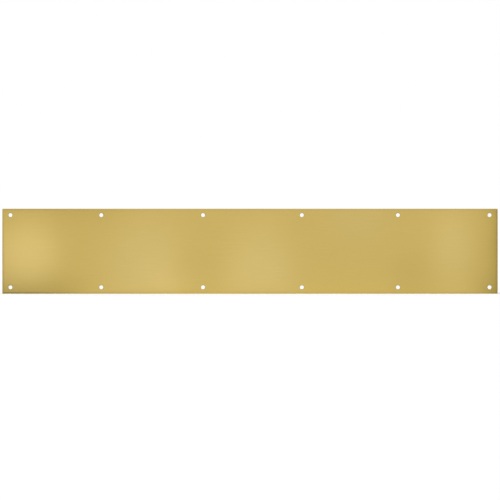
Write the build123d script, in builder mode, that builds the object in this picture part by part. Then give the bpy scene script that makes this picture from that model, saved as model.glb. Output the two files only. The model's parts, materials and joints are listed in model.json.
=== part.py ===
from build123d import *

import os

# A kick plate for the foot of a door. It is one sheet of satin brass with a bevel round all four
# edges of its show face, and two rows of countersunk screw holes.
#
# The frame is the plate as it hangs on the door: X runs along its length, +Z is up, and the show
# face looks along -Y. The origin is the centre of the back face, which lies on the door in the
# plane Y = 0. Sizes are in millimetres.

# The sheet: 35 in by 6 in, for a door 36 in wide, cut from 0.050 in brass.
PLATE_LENGTH = 889.0
PLATE_HEIGHT = 152.4
PLATE_THICKNESS = 1.27
CORNER_RADIUS = 0.8

# The bevel on the show face. It stops short of the back, so a square edge is left at the door.
BEVEL_WIDTH = 2.0
BEVEL_DEPTH = 0.8

# The screw holes, for No. 8 oval head screws. The countersink ends in a short straight wall at
# the back, so the rim of the hole isn't a knife edge.
HOLE_DIAMETER = 7.0
COUNTERSINK_DIAMETER = 8.6
COUNTERSINK_ANGLE = 82.0

# Where the holes are: six columns in each of two rows. The columns aren't quite evenly spaced.
HOLE_INSET_FROM_EDGE = 11.4
HOLE_INSET_FROM_END = 14.6
OUTER_COLUMN = PLATE_LENGTH / 2 - HOLE_INSET_FROM_END
COLUMNS = (-OUTER_COLUMN, -267.0, -84.3, 93.0, 265.5, OUTER_COLUMN)
UPPER_ROW = PLATE_HEIGHT / 2 - HOLE_INSET_FROM_EDGE
ROWS = (UPPER_ROW, -UPPER_ROW)

# Plane.XZ looks along -Y, so the sheet is extruded from its back towards its show face.
BACK_FACE = Plane.XZ
SHOW_FACE = BACK_FACE.offset(PLATE_THICKNESS)


with BuildPart() as kick_plate:
    with BuildSketch(BACK_FACE):
        Rectangle(PLATE_LENGTH, PLATE_HEIGHT)
    extrude(amount=PLATE_THICKNESS)

    # The bevels meet in a mitre at each corner.
    show_face = kick_plate.faces().sort_by(Axis.Y).first
    chamfer(show_face.edges(), length=BEVEL_WIDTH, length2=BEVEL_DEPTH, reference=show_face)

    # The corners are rounded off through the bevel.
    with BuildSketch(BACK_FACE):
        RectangleRounded(PLATE_LENGTH, PLATE_HEIGHT, CORNER_RADIUS)
    extrude(amount=PLATE_THICKNESS, mode=Mode.INTERSECT)

    with Locations(SHOW_FACE):
        with Locations([(column, row) for column in COLUMNS for row in ROWS]):
            CounterSinkHole(
                radius=HOLE_DIAMETER / 2,
                counter_sink_radius=COUNTERSINK_DIAMETER / 2,
                counter_sink_angle=COUNTERSINK_ANGLE,
            )

kick_plate.part.label = "kick_plate"

os.makedirs("parts", exist_ok=True)
export_step(kick_plate.part, "parts/kick_plate.step")
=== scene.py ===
import json
import math
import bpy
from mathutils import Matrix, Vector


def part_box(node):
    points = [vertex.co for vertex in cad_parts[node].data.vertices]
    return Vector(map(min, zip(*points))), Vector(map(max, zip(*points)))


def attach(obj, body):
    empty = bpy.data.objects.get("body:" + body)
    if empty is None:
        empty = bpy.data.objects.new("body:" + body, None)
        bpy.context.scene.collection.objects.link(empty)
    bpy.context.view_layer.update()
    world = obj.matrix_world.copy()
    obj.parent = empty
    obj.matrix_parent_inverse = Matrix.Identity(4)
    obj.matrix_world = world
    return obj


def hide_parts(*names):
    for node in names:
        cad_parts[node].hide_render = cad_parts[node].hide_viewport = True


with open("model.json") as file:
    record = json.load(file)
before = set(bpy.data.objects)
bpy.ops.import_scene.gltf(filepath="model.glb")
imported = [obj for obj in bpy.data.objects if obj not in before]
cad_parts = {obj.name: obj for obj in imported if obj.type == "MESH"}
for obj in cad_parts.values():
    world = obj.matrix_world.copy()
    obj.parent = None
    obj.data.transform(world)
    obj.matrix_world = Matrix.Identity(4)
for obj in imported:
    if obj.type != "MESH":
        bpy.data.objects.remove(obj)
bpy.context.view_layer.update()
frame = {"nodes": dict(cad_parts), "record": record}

from types import SimpleNamespace

import bmesh
import bpy
from mathutils import Vector

# A satin brass kick plate, face on, in front of a white studio. Everything is in metres, in the
# plate's own frame: X along its length, +Z up, and the show face looking along -Y.

NODE = "kick_plate"
MM = 0.001

# The mesh of the sheet. Round each hole is a square patch of it, whose rings turn into the rim.
PATCH = 7 * MM  # half the side of a patch
PATCH_STEPS = 12  # steps along each side of a patch
PATCH_RINGS = 3
RIM_STEPS = 4 * PATCH_STEPS
GRID_STEP = 11 * MM  # the widest step between patches
CORNER_STEPS = 8
EDGE_ROUND = 0.09 * MM  # what deburring leaves on every sharp edge
EDGE_TURN = math.radians(15)  # the least turn between two faces that counts as a sharp edge
TINY = 0.01 * MM

# The faces of the sheet that are finished differently, in the order of its material slots
SHOW, BEVEL, EDGE, SINK, BACK = range(5)


def measure_sheet():
    """The sheet's sizes, read from the CAD node and the record's screw hole mounts."""
    low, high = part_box(NODE)
    points = [v.co for v in frame["nodes"][NODE].data.vertices]
    show = [p for p in points if p.y < low.y + TINY]
    end = [p for p in points if p.x > high.x - TINY]
    top = [p for p in points if p.z > high.z - TINY]

    patterns = [m for m in frame["record"]["mounts"] if m["kind"] == "bolt_pattern"]
    columns = set()
    rows = set()
    for mount in patterns:
        x, _, z = mount["pos_m"]
        half_x = mount["dims"]["spacing_x_mm"] * MM / 2
        half_z = mount["dims"]["spacing_y_mm"] * MM / 2
        columns |= {x - half_x, x + half_x}
        rows |= {z - half_z, z + half_z}
    columns = sorted(columns)
    rows = sorted(rows)
    hole = patterns[0]["dims"]["hole_r_mm"] * MM

    def from_first_hole(point):
        return math.hypot(point.x - columns[0], point.z - rows[0])

    wall = [p for p in points if from_first_hole(p) < hole + TINY]
    return SimpleNamespace(
        low=low,
        high=high,
        columns=columns,  # x of the hole centres
        rows=rows,  # z of the hole centres
        hole=hole,  # radius of a hole
        sink=min(from_first_hole(p) for p in show),  # radius of its countersink at the show face
        wall_y=min(p.y for p in wall),  # where the countersink meets the hole's straight wall
        face_x=max(p.x for p in show),  # half the length of the show face inside the bevel
        face_z=max(p.z for p in show),  # half its height
        edge_y=min(p.y for p in end),  # where the bevel meets the square edge
        corner=high.x - max(p.x for p in top),  # radius of the rounded corners
    )


def grid_lines(centres, reach):
    """Lines across the sheet from -reach to reach, and where each hole's patch starts among them.

    Inside a patch the lines are spaced so that they meet its sides at even angles round the hole.
    """
    lines = [-reach]
    starts = []
    for centre in [*centres, None]:
        start = lines[-1]
        stop = reach if centre is None else centre - PATCH
        pieces = math.ceil((stop - start) / GRID_STEP)
        lines += [start + (stop - start) * i / pieces for i in range(1, pieces + 1)]
        if centre is not None:
            starts.append(len(lines) - 1)
            turns = [2 * i / PATCH_STEPS - 1 for i in range(1, PATCH_STEPS + 1)]
            lines += [centre + PATCH * math.tan(math.pi / 4 * turn) for turn in turns]
    return lines, starts


def patch_border(i, j):
    """The grid places round the patch whose lower left corner is (i, j), in order. They start at
    the lower right corner."""
    n = PATCH_STEPS
    return (
        [(i + n, j + k) for k in range(n)]
        + [(i + n - k, j + n) for k in range(n)]
        + [(i, j + n - k) for k in range(n)]
        + [(i + k, j) for k in range(n)]
    )


def circle(centre_x, centre_z, radius, y):
    """Points round a hole, in step with patch_border."""
    angles = [2 * math.pi * k / RIM_STEPS - math.pi / 4 for k in range(RIM_STEPS)]
    return [
        Vector((centre_x + radius * math.cos(a), y, centre_z + radius * math.sin(a)))
        for a in angles
    ]


def add_face(bm, material, *corners):
    bm.faces.new(corners).material_index = material


def bridge(bm, ring_a, ring_b, material):
    """Quads between two closed rings of as many points."""
    for k in range(len(ring_a)):
        add_face(bm, material, ring_a[k - 1], ring_a[k], ring_b[k], ring_b[k - 1])


def grid_face(bm, sheet, y, radius, material):
    """A flat face of the sheet with its holes. Returns its four sides, each a run of points, and
    the rims of the holes."""
    xs, x_starts = grid_lines(sheet.columns, sheet.face_x)
    zs, z_starts = grid_lines(sheet.rows, sheet.face_z)

    def in_patch(i, j, margin):
        """Whether the place (i, j) is in a patch, at least margin steps past its low sides."""
        return any(s + margin <= i < s + PATCH_STEPS for s in x_starts) and any(
            s + margin <= j < s + PATCH_STEPS for s in z_starts
        )

    at = {}
    for i, x in enumerate(xs):
        for j, z in enumerate(zs):
            if not in_patch(i, j, 1):
                at[i, j] = bm.verts.new((x, y, z))
    for i in range(len(xs) - 1):
        for j in range(len(zs) - 1):
            if not in_patch(i, j, 0):
                corners = (at[i, j], at[i + 1, j], at[i + 1, j + 1], at[i, j + 1])
                add_face(bm, material, *corners)

    rims = []
    for i, centre_x in zip(x_starts, sheet.columns, strict=True):
        for j, centre_z in zip(z_starts, sheet.rows, strict=True):
            ring = [at[place] for place in patch_border(i, j)]
            outer = [v.co.copy() for v in ring]
            inner = circle(centre_x, centre_z, radius, y)
            for step in range(1, PATCH_RINGS + 1):
                share = step / PATCH_RINGS
                points = [a.lerp(b, share) for a, b in zip(outer, inner, strict=True)]
                inside = [bm.verts.new(p) for p in points]
                bridge(bm, ring, inside, material)
                ring = inside
            rims.append(ring)

    last_x, last_z = len(xs) - 1, len(zs) - 1
    sides = (
        [at[last_x, j] for j in range(last_z + 1)],
        [at[i, last_z] for i in range(last_x, -1, -1)],
        [at[0, j] for j in range(last_z, -1, -1)],
        [at[i, 0] for i in range(last_x + 1)],
    )
    return sides, rims


def outline_ring(bm, sheet, sides, depth):
    """The sheet's outline beside the four sides of a face: for each side its run of points, and
    the arc of the corner that follows it. depth gives y from the distance to the nearest edge.

    The sides go round from the one at high x to those at high z, low x and low z.
    """

    def vertex(x, z):
        from_edge = min(sheet.high.x - abs(x), sheet.high.z - abs(z))
        return bm.verts.new((x, depth(from_edge), z))

    runs = []
    arcs = []
    for number, side in enumerate(sides):
        sign = 1 if number < 2 else -1
        if number % 2 == 0:
            runs.append([vertex(sign * sheet.high.x, v.co.z) for v in side])
        else:
            runs.append([vertex(v.co.x, sign * sheet.high.z) for v in side])
        corner = side[-1].co
        centre_x = math.copysign(sheet.high.x - sheet.corner, corner.x)
        centre_z = math.copysign(sheet.high.z - sheet.corner, corner.z)
        arc = []
        for k in range(CORNER_STEPS + 1):
            angle = math.pi / 2 * (number + k / CORNER_STEPS)
            x = centre_x + sheet.corner * math.cos(angle)
            z = centre_z + sheet.corner * math.sin(angle)
            arc.append(vertex(x, z))
        arcs.append(arc)
    return runs, arcs


def border(bm, sides, runs, arcs, material):
    """The strip between a face and the sheet's outline. Returns the outline as one closed ring."""
    ring = []
    for number, side in enumerate(sides):
        run, arc = runs[number], arcs[number]
        for k in range(len(side) - 1):
            add_face(bm, material, side[k], side[k + 1], run[k + 1], run[k])
        fan = [run[-1], *arc, runs[(number + 1) % 4][0]]
        for a, b in zip(fan, fan[1:], strict=False):
            add_face(bm, material, side[-1], a, b)
        ring += [*run, *arc]
    return ring


def make_sheet(sheet):
    """The sheet as one closed mesh, with every edge softened a little."""
    # How steeply the bevel falls away towards the edge
    slope = (sheet.edge_y - sheet.low.y) / (sheet.high.x - sheet.face_x)
    bm = bmesh.new()
    show_sides, show_rims = grid_face(bm, sheet, sheet.low.y, sheet.sink, SHOW)
    runs, arcs = outline_ring(bm, sheet, show_sides, lambda d: sheet.edge_y - slope * d)
    show_ring = border(bm, show_sides, runs, arcs, BEVEL)

    back_sides, back_rims = grid_face(bm, sheet, sheet.high.y, sheet.hole, BACK)
    runs, arcs = outline_ring(bm, sheet, back_sides, lambda d: sheet.high.y)
    back_ring = border(bm, back_sides, runs, arcs, BACK)
    bridge(bm, show_ring, back_ring, EDGE)

    centres = [(x, z) for x in sheet.columns for z in sheet.rows]
    for (x, z), show_rim, back_rim in zip(centres, show_rims, back_rims, strict=True):
        throat = [bm.verts.new(p) for p in circle(x, z, sheet.hole, sheet.wall_y)]
        bridge(bm, show_rim, throat, SINK)
        bridge(bm, throat, back_rim, SINK)

    bmesh.ops.recalc_face_normals(bm, faces=bm.faces)
    for face in bm.faces:
        face.smooth = True
    mesh = bpy.data.meshes.new("kick_plate_sheet")
    bm.to_mesh(mesh)
    bm.free()

    plate = bpy.data.objects.new("kick_plate_sheet", mesh)
    bpy.context.scene.collection.objects.link(plate)
    soften = plate.modifiers.new("deburred edges", "BEVEL")
    soften.width = EDGE_ROUND
    soften.segments = 3
    soften.limit_method = "ANGLE"
    soften.angle_limit = EDGE_TURN
    soften.use_clamp_overlap = False
    soften.harden_normals = True
    return plate


# Materials


class Nodes:
    """A small helper for wiring a material's or the world's node tree."""

    def __init__(self, owner):
        owner.use_nodes = True
        self.owner = owner
        self.tree = owner.node_tree
        self.tree.nodes.clear()

    def add(self, kind, **settings):
        node = self.tree.nodes.new(kind)
        for key, value in settings.items():
            setattr(node, key, value)
        return node

    def feed(self, socket, value):
        """Gives a socket its value, which is a constant or another node's output."""
        if isinstance(value, bpy.types.NodeSocket):
            self.tree.links.new(value, socket)
        else:
            socket.default_value = value

    def maths(self, operation, *values):
        node = self.add("ShaderNodeMath", operation=operation)
        for socket, value in zip(node.inputs, values, strict=False):
            self.feed(socket, value)
        return node.outputs["Value"]

    def place(self):
        """Where a point is in the object's own coordinates."""
        return self.add("ShaderNodeTexCoord").outputs["Object"]

    def noise(self, stretch, detail=2.0, roughness=0.5):
        """Noise from 0 to 1, with stretch bumps to the metre along each axis."""
        mapping = self.add("ShaderNodeMapping")
        self.feed(mapping.inputs["Vector"], self.place())
        self.feed(mapping.inputs["Scale"], stretch)
        noise = self.add("ShaderNodeTexNoise")
        self.feed(noise.inputs["Vector"], mapping.outputs["Vector"])
        self.feed(noise.inputs["Scale"], 1.0)
        self.feed(noise.inputs["Detail"], detail)
        self.feed(noise.inputs["Roughness"], roughness)
        return noise.outputs["Fac"]

    def spread(self, value, low, high, start=0.0, end=1.0, curve="LINEAR"):
        """value from start..end to low..high, and no further."""
        ramp = self.add("ShaderNodeMapRange", interpolation_type=curve)
        self.feed(ramp.inputs["Value"], value)
        self.feed(ramp.inputs["From Min"], start)
        self.feed(ramp.inputs["From Max"], end)
        self.feed(ramp.inputs["To Min"], low)
        self.feed(ramp.inputs["To Max"], high)
        return ramp.outputs["Result"]

    def product(self, *values):
        result = values[0]
        for value in values[1:]:
            result = self.maths("MULTIPLY", result, value)
        return result

    def total(self, *values):
        result = values[0]
        for value in values[1:]:
            result = self.maths("ADD", result, value)
        return result

    def scaled(self, colour, by):
        """A colour times a number."""
        node = self.add("ShaderNodeVectorMath", operation="SCALE")
        self.feed(node.inputs[0], colour)
        self.feed(node.inputs["Scale"], by)
        return node.outputs["Vector"]

    def bump(self, height, distance, below=None):
        node = self.add("ShaderNodeBump")
        self.feed(node.inputs["Height"], height)
        self.feed(node.inputs["Distance"], distance)
        if below is not None:
            self.feed(node.inputs["Normal"], below)
        return node.outputs["Normal"]

    def shader(self, kind, **values):
        """A shader with its sockets filled. A socket's spaces are underscores in values."""
        node = self.add(kind)
        for name, value in values.items():
            self.feed(node.inputs[name.replace("_", " ")], value)
        return node.outputs[0]

    def finish(self, shader, kind="ShaderNodeOutputMaterial"):
        self.feed(self.add(kind).inputs["Surface"], shader)
        return self.owner


BRASS = (0.80, 0.588, 0.168)  # the metal's own colour, which every finish scales
RIM = 5 * MM  # how far the duller rim reaches into the show face


def rim_wear(n, sheet):
    """How worn the show face is: most where it meets its bevel, fading unevenly to 0 over RIM."""
    split = n.add("ShaderNodeSeparateXYZ")
    n.feed(split.inputs[0], n.place())
    gap_x = n.maths("SUBTRACT", sheet.face_x, n.maths("ABSOLUTE", split.outputs["X"]))
    gap_z = n.maths("SUBTRACT", sheet.face_z, n.maths("ABSOLUTE", split.outputs["Z"]))
    near = n.spread(n.maths("MINIMUM", gap_x, gap_z), 1.0, 0.0, 0.0, RIM, "SMOOTHSTEP")
    return n.product(near, n.noise((60, 1, 60), detail=3.0))


def brushed_brass(sheet):
    """The show face: a fine grain along the plate's length, under a thin clear lacquer."""
    n = Nodes(bpy.data.materials.new("brushed_brass"))
    streaks = n.noise((7, 1, 900), detail=3.0, roughness=0.6)
    grain = n.spread(n.noise((25, 1, 5000), detail=3.0, roughness=0.7), 0.0, 1.0, 0.3, 0.7)
    hairlines = n.spread(n.noise((12, 1, 2600)), 0.0, 1.0, 0.60, 0.72, "SMOOTHSTEP")
    cloud = n.noise((7, 1, 11), detail=2.0)
    wear = rim_wear(n, sheet)

    tone = n.product(
        n.spread(cloud, 0.98, 1.02),
        n.spread(streaks, 0.975, 1.025),
        n.spread(grain, 0.95, 1.05),
        n.spread(hairlines, 1.0, 1.06),
        n.spread(wear, 1.0, 0.95),
    )
    rough = n.total(
        n.spread(streaks, 0.31, 0.42),
        n.spread(grain, -0.05, 0.05),
        n.spread(hairlines, 0.0, -0.08),
        n.spread(wear, 0.0, 0.04),
    )
    normal = n.bump(cloud, 0.8 * MM)
    normal = n.bump(streaks, 0.012 * MM, normal)
    normal = n.bump(grain, 0.003 * MM, normal)
    normal = n.bump(hairlines, 0.002 * MM, normal)
    # A tangent that turns about X lies along Z here, so glows are drawn out across the grain.
    tangent = n.add("ShaderNodeTangent", direction_type="RADIAL", axis="X")
    return n.finish(
        n.shader(
            "ShaderNodeBsdfPrincipled",
            Base_Color=n.scaled(BRASS, tone),
            Metallic=1.0,
            Roughness=rough,
            Normal=normal,
            Anisotropic=0.55,
            Tangent=tangent.outputs["Tangent"],
            Coat_Weight=0.12,
            Coat_Roughness=0.22,
        )
    )


def bare_brass(name, tone, roughness, grain, depth, stains=0.03):
    """A surface of the sheet that is left as it was cut or rolled.

    tone is how bright it is beside BRASS. grain is the stretch of the lines that the tool left,
    and depth is how deep they are. stains is how much the tone wanders from place to place.
    """
    n = Nodes(bpy.data.materials.new(name))
    lines = n.spread(n.noise(grain, detail=6.0, roughness=0.75), 0.0, 1.0, 0.3, 0.7)
    patches = n.noise((5, 9, 16), detail=4.0)
    shade = n.product(
        n.spread(lines, tone - 0.05, tone + 0.05),
        n.spread(patches, 1.0 - stains, 1.0 + stains, 0.3, 0.7, "SMOOTHSTEP"),
    )
    rough = n.total(
        n.spread(lines, roughness - 0.06, roughness + 0.06),
        n.spread(patches, stains, -stains, 0.3, 0.7, "SMOOTHSTEP"),
    )
    return n.finish(
        n.shader(
            "ShaderNodeBsdfPrincipled",
            Base_Color=n.scaled(BRASS, shade),
            Metallic=1.0,
            Roughness=rough,
            Normal=n.bump(lines, depth),
        )
    )


# Stage, lights and camera

# What the metal mirrors far off: a dim room, and the soft boxes in it. Each soft box has its
# direction from the plate, how tightly its light is gathered, and its brightness.
ROOM = 0.52
SOFT_BOXES = (
    ((-0.20, -1.00, 0.10), 4, 0.27),
    ((0.00, -0.40, 1.00), 3, 0.22),
    ((-1.00, 0.20, 0.30), 5, 0.35),
    ((1.00, 0.50, 0.40), 6, 0.25),
    ((0.25, 1.00, 0.25), 6, 0.25),
)

# What it mirrors close by: soft round cards, cool lamps that face it and dim warm boards past its
# ends and along its edges. Each has its turn, centre, half sizes, tint and brightness. The half
# sizes are along X and Z for a card that is FACING, Y and Z for ENDWAYS, and X and Y for FLAT.
FACING = (math.pi / 2, 0, 0)
ENDWAYS = (math.pi / 2, 0, math.pi / 2)
FLAT = (0, 0, 0)
COOL = (0.97, 1.00, 1.28)
PLAIN = (1.00, 1.00, 1.00)
WARM = (1.00, 0.97, 0.45)
PALE = (1.00, 0.98, 0.78)
CARDS = (
    ("left_lamp", FACING, (-0.411, -0.15, -0.009), (0.075, 0.064), COOL, 1.10),
    ("middle_left_lamp", FACING, (-0.190, -0.15, -0.030), (0.100, 0.110), COOL, 0.86),
    ("low_lamp", FACING, (-0.135, -0.14, -0.115), (0.095, 0.068), COOL, 1.10),
    ("middle_lamp", FACING, (0.020, -0.15, -0.050), (0.085, 0.120), COOL, 0.89),
    ("dim_spot", FACING, (-0.100, -0.12, -0.034), (0.060, 0.062), PLAIN, 0.72),
    ("low_dim_spot", FACING, (0.292, -0.12, -0.050), (0.055, 0.065), PLAIN, 0.68),
    ("high_lamp", FACING, (0.200, -0.15, 0.060), (0.080, 0.045), COOL, 0.83),
    ("right_lamp", FACING, (0.375, -0.15, 0.010), (0.050, 0.085), COOL, 0.91),
    ("end_board", ENDWAYS, (0.455, -0.066, 0.026), (0.084, 0.210), WARM, 0.33),
    ("left_floor_board", FLAT, (-0.450, -0.06, -0.078), (0.200, 0.110), WARM, 0.22),
    ("right_floor_board", FLAT, (0.480, -0.06, -0.078), (0.096, 0.095), WARM, 0.22),
    ("foot_board", FLAT, (0.050, -0.03, -0.079), (0.600, 0.056), PALE, 0.75),
    ("top_board", FLAT, (-0.380, -0.08, 0.100), (0.240, 0.065), WARM, 0.42),
    ("back_lamp", FACING, (-0.180, 0.25, 0.020), (0.200, 0.130), COOL, 1.05),
    ("low_back_lamp", FACING, (0.260, 0.20, -0.040), (0.120, 0.080), COOL, 0.95),
    ("back_board", ENDWAYS, (-0.480, 0.10, 0.000), (0.150, 0.130), WARM, 0.25),
)
CARD_HEART = 0.4  # the share of a card's radius that is at full strength

# The camera: a long lens, square to the show face
LENS = 200.0
SENSOR = 36.0
VIEW = 1.0093  # how wide the view is at the plate, in lengths of the plate
RISE = 2.15 * MM  # how far the camera is above the plate's middle


def make_floor(sheet):
    """A plain white floor under the plate, out past every view. The metal doesn't mirror it."""
    mesh = bpy.data.meshes.new("floor")
    reach = 30.0
    z = sheet.low.z
    corners = [(-reach, -reach, z), (reach, -reach, z), (reach, reach, z), (-reach, reach, z)]
    mesh.from_pydata(corners, [], [(0, 1, 2, 3)])
    floor = bpy.data.objects.new("floor", mesh)
    bpy.context.scene.collection.objects.link(floor)
    n = Nodes(bpy.data.materials.new("floor_paint"))
    # It glows a little, which makes it as white as the world behind it.
    paint = n.shader(
        "ShaderNodeBsdfPrincipled",
        Base_Color=(0.75, 0.75, 0.75, 1),
        Roughness=0.8,
        Specular_IOR_Level=0.0,
        Emission_Color=(1, 1, 1, 1),
        Emission_Strength=0.18,
    )
    mesh.materials.append(n.finish(paint))
    floor.visible_glossy = False


def make_world():
    """White to the camera, and ROOM with its SOFT_BOXES to everything else."""
    world = bpy.data.worlds.new("studio")
    bpy.context.scene.world = world
    n = Nodes(world)
    direction = n.add("ShaderNodeTexCoord").outputs["Generated"]
    light = ROOM
    for towards, gathering, brightness in SOFT_BOXES:
        dot = n.add("ShaderNodeVectorMath", operation="DOT_PRODUCT")
        n.feed(dot.inputs[0], direction)
        n.feed(dot.inputs[1], Vector(towards).normalized())
        near = n.maths("MAXIMUM", dot.outputs["Value"], 0.0)
        glow = n.maths("POWER", near, gathering)
        light = n.maths("MULTIPLY_ADD", glow, brightness, light)
    mix = n.add("ShaderNodeMixShader")
    n.feed(mix.inputs["Fac"], n.add("ShaderNodeLightPath").outputs["Is Camera Ray"])
    n.feed(mix.inputs[1], n.shader("ShaderNodeBackground", Color=(1, 1, 1, 1), Strength=light))
    n.feed(mix.inputs[2], n.shader("ShaderNodeBackground", Color=(1, 1, 1, 1), Strength=1.0))
    n.finish(mix.outputs[0], "ShaderNodeOutputWorld")


def make_key():
    """A broad light from above and in front. It gives the plate its shadow on the floor."""
    data = bpy.data.lights.new("key", "SUN")
    data.energy = 1.7
    data.angle = math.radians(25)
    key = bpy.data.objects.new("key", data)
    key.rotation_euler = (math.radians(40), 0, math.radians(-30))
    key.visible_glossy = False
    bpy.context.scene.collection.objects.link(key)


def make_card(name, turn, centre, half_sizes, tint, brightness):
    """A round card that only the metal's reflections show, fading out towards its rim."""
    bm = bmesh.new()
    bmesh.ops.create_circle(bm, cap_ends=True, segments=32, radius=1.0)
    mesh = bpy.data.meshes.new(name)
    bm.to_mesh(mesh)
    bm.free()
    card = bpy.data.objects.new(name, mesh)
    card.location = centre
    card.rotation_euler = turn
    card.scale = (*half_sizes, 1)
    bpy.context.scene.collection.objects.link(card)

    n = Nodes(bpy.data.materials.new(name))
    radius = n.add("ShaderNodeVectorMath", operation="LENGTH")
    n.feed(radius.inputs[0], n.place())
    mix = n.add("ShaderNodeMixShader")
    fade = n.spread(radius.outputs["Value"], 1.0, 0.0, CARD_HEART, 1.0, "SMOOTHSTEP")
    n.feed(mix.inputs["Fac"], fade)
    n.feed(mix.inputs[1], n.shader("ShaderNodeBsdfTransparent"))
    n.feed(mix.inputs[2], n.shader("ShaderNodeEmission", Color=(*tint, 1), Strength=brightness))
    mesh.materials.append(n.finish(mix.outputs[0]))

    card.visible_camera = False
    card.visible_diffuse = False
    card.visible_shadow = False
    card.visible_transmission = False


def make_camera(sheet):
    """A camera in front of the plate, as far off as the lens needs to take in the view."""
    data = bpy.data.cameras.new("camera")
    data.lens = LENS
    data.sensor_width = SENSOR
    data.clip_end = 100.0
    camera = bpy.data.objects.new("camera", data)
    distance = VIEW * (sheet.high.x - sheet.low.x) * LENS / SENSOR
    camera.location = (0, sheet.low.y - distance, RISE)
    camera.rotation_euler = (math.pi / 2, 0, 0)
    bpy.context.scene.collection.objects.link(camera)
    bpy.context.scene.camera = camera


sheet = measure_sheet()
plate = make_sheet(sheet)
for material in (
    brushed_brass(sheet),
    bare_brass("brass_bevel", 0.93, 0.34, (15, 8000, 15), 0.002 * MM),
    bare_brass("brass_cut_edge", 0.80, 0.45, (2500, 60, 2500), 0.006 * MM),
    bare_brass("brass_countersink", 0.95, 0.30, (60, 9000, 60), 0.004 * MM),
    bare_brass("brass_mill_back", 0.86, 0.42, (10, 1, 900), 0.006 * MM, stains=0.045),
):
    plate.data.materials.append(material)
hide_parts(NODE)
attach(plate, "root")

make_floor(sheet)
make_world()
make_key()
for card in CARDS:
    make_card(*card)
make_camera(sheet)
bpy.context.scene.view_settings.view_transform = "Standard"
